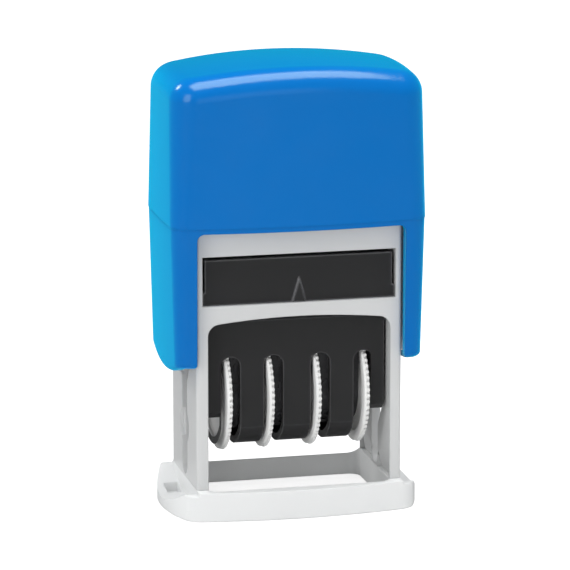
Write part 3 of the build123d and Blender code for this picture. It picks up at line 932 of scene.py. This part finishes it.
class STAMP_OT_spring(Operator):
    """Wind the return spring between the frame's deck and the yoke"""

    bl_idname = "stamp.spring"
    bl_label = "Wind the return spring"

    def execute(self, context):
        settings = context.scene.stamp_spring
        colour = context.scene.stamp_finish.steel_colour
        steel = drawn_steel("spring_wire_steel", colour, WIRE_LINES)
        low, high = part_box("return_spring")
        wire = settings.wire
        line = coil_line(
            (high.x - low.x) / 2 - wire / 2,
            low.z + wire / 2,
            high.z - wire / 2,
            settings.turns,
            settings.end_turns,
            wire * CLOSED_PITCH,
        )
        bm = bmesh.new()
        verts = [bm.verts.new(point) for point in line]
        for pair in zip(verts, verts[1:]):
            bm.edges.new(pair)
        piece = link(mesh_from(bm, "return_spring_coil"), "return_spring_coil")
        tree, keys = coil_tree()
        values = {keys["Wire radius"]: wire / 2, keys["Material"]: steel}
        add_group(piece, "wire", tree, values)
        smooth_by_angle(piece.data, CRISP_ANGLE)
        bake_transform(piece)
        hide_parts("return_spring")
        return {"FINISHED"}


# ----------------------------------------------------------------- bands


def bend(centre, radius, first, last, steps):
    """Points round an arc in the YZ plane, each with its outward way."""
    points = []
    for step in range(steps + 1):
        angle = math.radians(first + (last - first) * step / steps)
        out = Vector((0, math.cos(angle), math.sin(angle)))
        points.append((Vector((0, *centre)) + out * radius, out))
    return points


def band_stations(low, high, count):
    """Evenly spaced places round a band's outer face: point, outward and onward ways.

    The first place is the middle of the band's flat top, which is the print face.
    """
    radius = high.y
    flat = radius - BAND_CORNER
    corner_z = high.z - BAND_CORNER
    track = bend((0, low.z + radius), radius, 0, -180, BEND_STEPS)
    track += bend((-flat, corner_z), BAND_CORNER, 180, 90, CORNER_STEPS)
    top_starts = len(track) - 1
    track += bend((flat, corner_z), BAND_CORNER, 90, 0, CORNER_STEPS)
    track.append(track[0])
    lengths = [0.0]
    for here, there in zip(track, track[1:]):
        lengths.append(lengths[-1] + (there[0] - here[0]).length)
    middle = lengths[top_starts] + flat
    stations = []
    for number in range(count):
        goal = (middle + lengths[-1] * number / count) % lengths[-1]
        for index in range(len(track) - 1):
            if lengths[index] <= goal <= lengths[index + 1]:
                span = max(lengths[index + 1] - lengths[index], 1e-9)
                share = (goal - lengths[index]) / span
                point = track[index][0].lerp(track[index + 1][0], share)
                out = track[index][1].lerp(track[index + 1][1], share).normalized()
                stations.append((point, out, Vector((1, 0, 0)).cross(out)))
                break
    return stations


def belt_outline(half, bottom, top, corner):
    """A belt's loop as (y, z) points: half round below, two rounded corners above."""
    flat = half - corner
    track = bend((0, bottom), half, 0, -180, BELT_BEND_STEPS)
    track += bend((-flat, top - corner), corner, 180, 90, BELT_CORNER_STEPS)
    track += bend((flat, top - corner), corner, 90, 0, BELT_CORNER_STEPS)
    return [(point.y, point.z) for point, _ in track]


def belt(low, high, relief, thickness, name):
    """A date band's plain rubber loop, inside the reach of its raised characters."""
    top = high.z - relief
    half = high.y - relief
    bottom = low.z + high.y
    bm = bmesh.new()
    loops = []
    for inset, sides in ((0.0, (low.x, high.x)), (thickness, (high.x, low.x))):
        outline = belt_outline(half - inset, bottom, top - inset, BELT_CORNER - inset)
        for x in sides:
            loops.append([bm.verts.new((x, y, z)) for y, z in outline])
    loft(bm, loops)
    return mesh_from(bm, name)


def raised_character(text, tall, deep, name):
    """Raised characters as a mesh lying in the XY plane, facing +Z."""
    curve = bpy.data.curves.new(name, "FONT")
    curve.body = text
    curve.align_x = "CENTER"
    curve.align_y = "CENTER"
    curve.size = tall / FONT_HEIGHT_SHARE
    curve.extrude = deep
    curve.resolution_u = FONT_STEPS
    holder = link(curve, name)
    mesh = evaluated_mesh(holder)
    bpy.data.objects.remove(holder)
    bpy.data.curves.remove(curve)
    return mesh


def set_type(mesh, word, low, high, settings):
    """Raise mirrored characters round a band, counting up from the word it prints."""
    relief = settings.relief
    words = 10 ** len(word)
    room = (high.x - low.x) * CHARACTER_ROOM
    bm = bmesh.new()
    bm.from_mesh(mesh)
    stations = band_stations(low, high, settings.stations)
    for step, (point, out, onward) in enumerate(stations):
        label = str((int(word) + step) % words).zfill(len(word))
        text = raised_character(label, CHARACTER_HEIGHT, relief / 2, "band_type")
        xs = [vert.co.x for vert in text.vertices]
        squeeze = min(1.0, room / (max(xs) - min(xs)))
        rows = ((-squeeze, 0, 0), (0, onward.y, out.y), (0, onward.z, out.z))
        middle = Vector(((low.x + high.x) / 2, point.y, point.z)) - out * relief / 2
        text.transform(Matrix.Translation(middle) @ Matrix(rows).to_4x4())
        text.flip_normals()
        bm.from_mesh(text)
        bpy.data.meshes.remove(text)
    bm.to_mesh(mesh)
    bm.free()


class STAMP_OT_bands(Operator):
    """Mould the date bands with their raised, mirrored characters"""

    bl_idname = "stamp.bands"
    bl_label = "Mould the date bands"

    def execute(self, context):
        settings = context.scene.stamp_bands
        matte = rubber("band_rubber", context.scene.stamp_finish.band_colour)
        words = (settings.first, settings.second, settings.third, settings.fourth)
        for number, word in enumerate(words, start=1):
            node = f"date_band_{number}"
            low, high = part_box(node)
            mesh = belt(low, high, settings.relief, settings.thickness, node + "_skin")
            piece = link(mesh, node + "_skin")
            set_type(piece.data, word, low, high, settings)
            smooth_by_angle(piece.data, BAND_CRISP_ANGLE)
            paint(piece, matte)
            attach(piece, "carriage")
            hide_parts(node)
        return {"FINISHED"}


# ----------------------------------------------------------------- stage


def either_shader(tree, test, no, yes):
    """One shader where a test is 0, and another where it is 1."""
    inputs = {0: test, 1: no.outputs[0], 2: yes.outputs[0]}
    return add(tree, "ShaderNodeMixShader", inputs)


def stage_floor():
    """A plain pale floor that shows white to the camera and keeps the stamp's shadow."""
    bm = bmesh.new()
    bmesh.ops.create_grid(bm, x_segments=FLOOR_CELLS, y_segments=FLOOR_CELLS, size=FLOOR_SIZE)
    floor = link(mesh_from(bm, "floor"), "floor")
    floor.location.z = -FLOOR_DROP
    material = bpy.data.materials.new("floor_paper")
    material.use_nodes = True
    tree = material.node_tree
    tree.nodes.clear()
    ray = add(tree, "ShaderNodeLightPath").outputs
    seen = maths(tree, "MAXIMUM", ray["Is Camera Ray"], ray["Is Transmission Ray"])
    glow = add(tree, "ShaderNodeEmission", {"Color": WHITE, "Strength": FLOOR_SEEN_GLOW})
    paper = add(tree, "ShaderNodeBsdfDiffuse", {"Color": (*grey(FLOOR_SEEN_TONE), 1)})
    bright = add(tree, "ShaderNodeAddShader", {0: glow.outputs[0], 1: paper.outputs[0]})
    plain = add(tree, "ShaderNodeBsdfDiffuse", {"Color": (*grey(FLOOR_TONE), 1)})
    dull = add(tree, "ShaderNodeEmission", {"Strength": FLOOR_IN_REFLECTIONS})
    bounce = either_shader(tree, ray["Is Glossy Ray"], plain, dull)
    surface = either_shader(tree, seen, bounce, bright).outputs[0]
    add(tree, "ShaderNodeOutputMaterial", {"Surface": surface})
    paint(floor, material)


def stage_world(strength, gloss):
    """Even surrounding light that shows white to the camera and dim in reflections."""
    world = bpy.data.worlds.new("studio")
    bpy.context.scene.world = world
    world.use_nodes = True
    tree = world.node_tree
    tree.nodes.clear()
    ray = add(tree, "ShaderNodeLightPath").outputs
    soft, dim, white = (
        add(tree, "ShaderNodeBackground", {"Color": WHITE, "Strength": level})
        for level in (strength, gloss, 1.0)
    )
    unseen = either_shader(tree, ray["Is Glossy Ray"], soft, dim)
    surface = either_shader(tree, ray["Is Camera Ray"], unseen, white).outputs[0]
    add(tree, "ShaderNodeOutputWorld", {"Surface": surface})


def lamp(name, place, power, width, height):
    """A soft rectangular lamp that looks at the middle of the stamp."""
    data = bpy.data.lights.new(name, "AREA")
    data.shape = "RECTANGLE"
    data.size = width
    data.size_y = height
    data.energy = power
    holder = link(data, name)
    holder.location = place
    towards = Vector(LAMP_AIM) - Vector(place)
    holder.rotation_euler = towards.to_track_quat("-Z", "Y").to_euler()


def stage_camera(settings):
    """The camera, turned about its target and looking at it."""
    data = bpy.data.cameras.new("camera")
    data.lens = settings.camera_lens
    data.sensor_width = SENSOR_WIDTH
    data.clip_start = 0.01
    data.clip_end = 20.0
    camera = link(data, "camera")
    turn = math.radians(settings.camera_azimuth)
    tilt = math.radians(settings.camera_elevation)
    level = math.cos(tilt)
    back = Vector((math.sin(turn) * level, -math.cos(turn) * level, math.sin(tilt)))
    target = Vector((settings.target_side, 0.0, settings.target_height))
    camera.location = target + back * settings.camera_distance
    camera.rotation_euler = (math.radians(90) - tilt, 0.0, turn)
    return camera


class STAMP_OT_stage(Operator):
    """Set the floor, the lamps and the camera"""

    bl_idname = "stamp.stage"
    bl_label = "Set the stage"

    def execute(self, context):
        settings = context.scene.stamp_stage
        stage_floor()
        stage_world(settings.ambient, settings.mirrored)
        lamp("key", (-0.70, -0.50, 0.34), settings.key_power, width=0.4, height=0.5)
        lamp("rim", (-0.60, 0.50, 0.60), settings.rim_power, width=0.20, height=0.20)
        lamp("fill", (0.02, -0.90, 0.16), settings.fill_power, width=0.5, height=0.4)
        lamp("top", (0.03, -0.10, 0.74), settings.top_power, width=0.7, height=0.45)
        context.scene.camera = stage_camera(settings)
        context.scene.view_settings.view_transform = "Standard"
        return {"FINISHED"}


# ----------------------------------------------------------------- panel


class STAMP_PT_panel(Panel):
    """The stamp's pieces and settings"""

    bl_idname = "STAMP_PT_panel"
    bl_label = "Date stamp"
    bl_space_type = "VIEW_3D"
    bl_region_type = "UI"
    bl_category = "Stamp"

    def draw(self, context):
        for title, operator, group in STEPS:
            box = self.layout.box()
            box.operator(operator, text=title)
            if group:
                settings = getattr(context.scene, group)
                for name in settings.__annotations__:
                    box.prop(settings, name)


STEPS = (
    ("Cap", "stamp.cap", "stamp_finish"),
    ("Housing", "stamp.housing", "stamp_edges"),
    ("Cartridge", "stamp.cartridge", None),
    ("Carriage", "stamp.carriage", None),
    ("Setting wheels", "stamp.wheels", "stamp_wheels"),
    ("Return spring", "stamp.spring", "stamp_spring"),
    ("Date bands", "stamp.bands", "stamp_bands"),
    ("Stage", "stamp.stage", "stamp_stage"),
)

GROUPS = {
    "stamp_finish": StampFinishSettings,
    "stamp_edges": StampEdgeSettings,
    "stamp_wheels": StampWheelSettings,
    "stamp_spring": StampSpringSettings,
    "stamp_bands": StampBandSettings,
    "stamp_stage": StampStageSettings,
}

OPERATORS = (
    STAMP_OT_cap,
    STAMP_OT_housing,
    STAMP_OT_cartridge,
    STAMP_OT_carriage,
    STAMP_OT_wheels,
    STAMP_OT_spring,
    STAMP_OT_bands,
    STAMP_OT_stage,
)


def register():
    """Register the settings, operators and panel."""
    for name, group in GROUPS.items():
        bpy.utils.register_class(group)
        setattr(bpy.types.Scene, name, PointerProperty(type=group))
    for operator in OPERATORS:
        bpy.utils.register_class(operator)
    bpy.utils.register_class(STAMP_PT_panel)


def unregister():
    """Take everything out again."""
    bpy.utils.unregister_class(STAMP_PT_panel)
    for operator in reversed(OPERATORS):
        bpy.utils.unregister_class(operator)
    for name, group in reversed(list(GROUPS.items())):
        delattr(bpy.types.Scene, name)
        bpy.utils.unregister_class(group)


def main():
    """Dress every piece in order."""
    register()
    bpy.ops.stamp.cap()
    bpy.ops.stamp.housing()
    bpy.ops.stamp.cartridge()
    bpy.ops.stamp.carriage()
    bpy.ops.stamp.wheels()
    bpy.ops.stamp.spring()
    bpy.ops.stamp.bands()
    bpy.ops.stamp.stage()


if __name__ == "__main__":
    main()
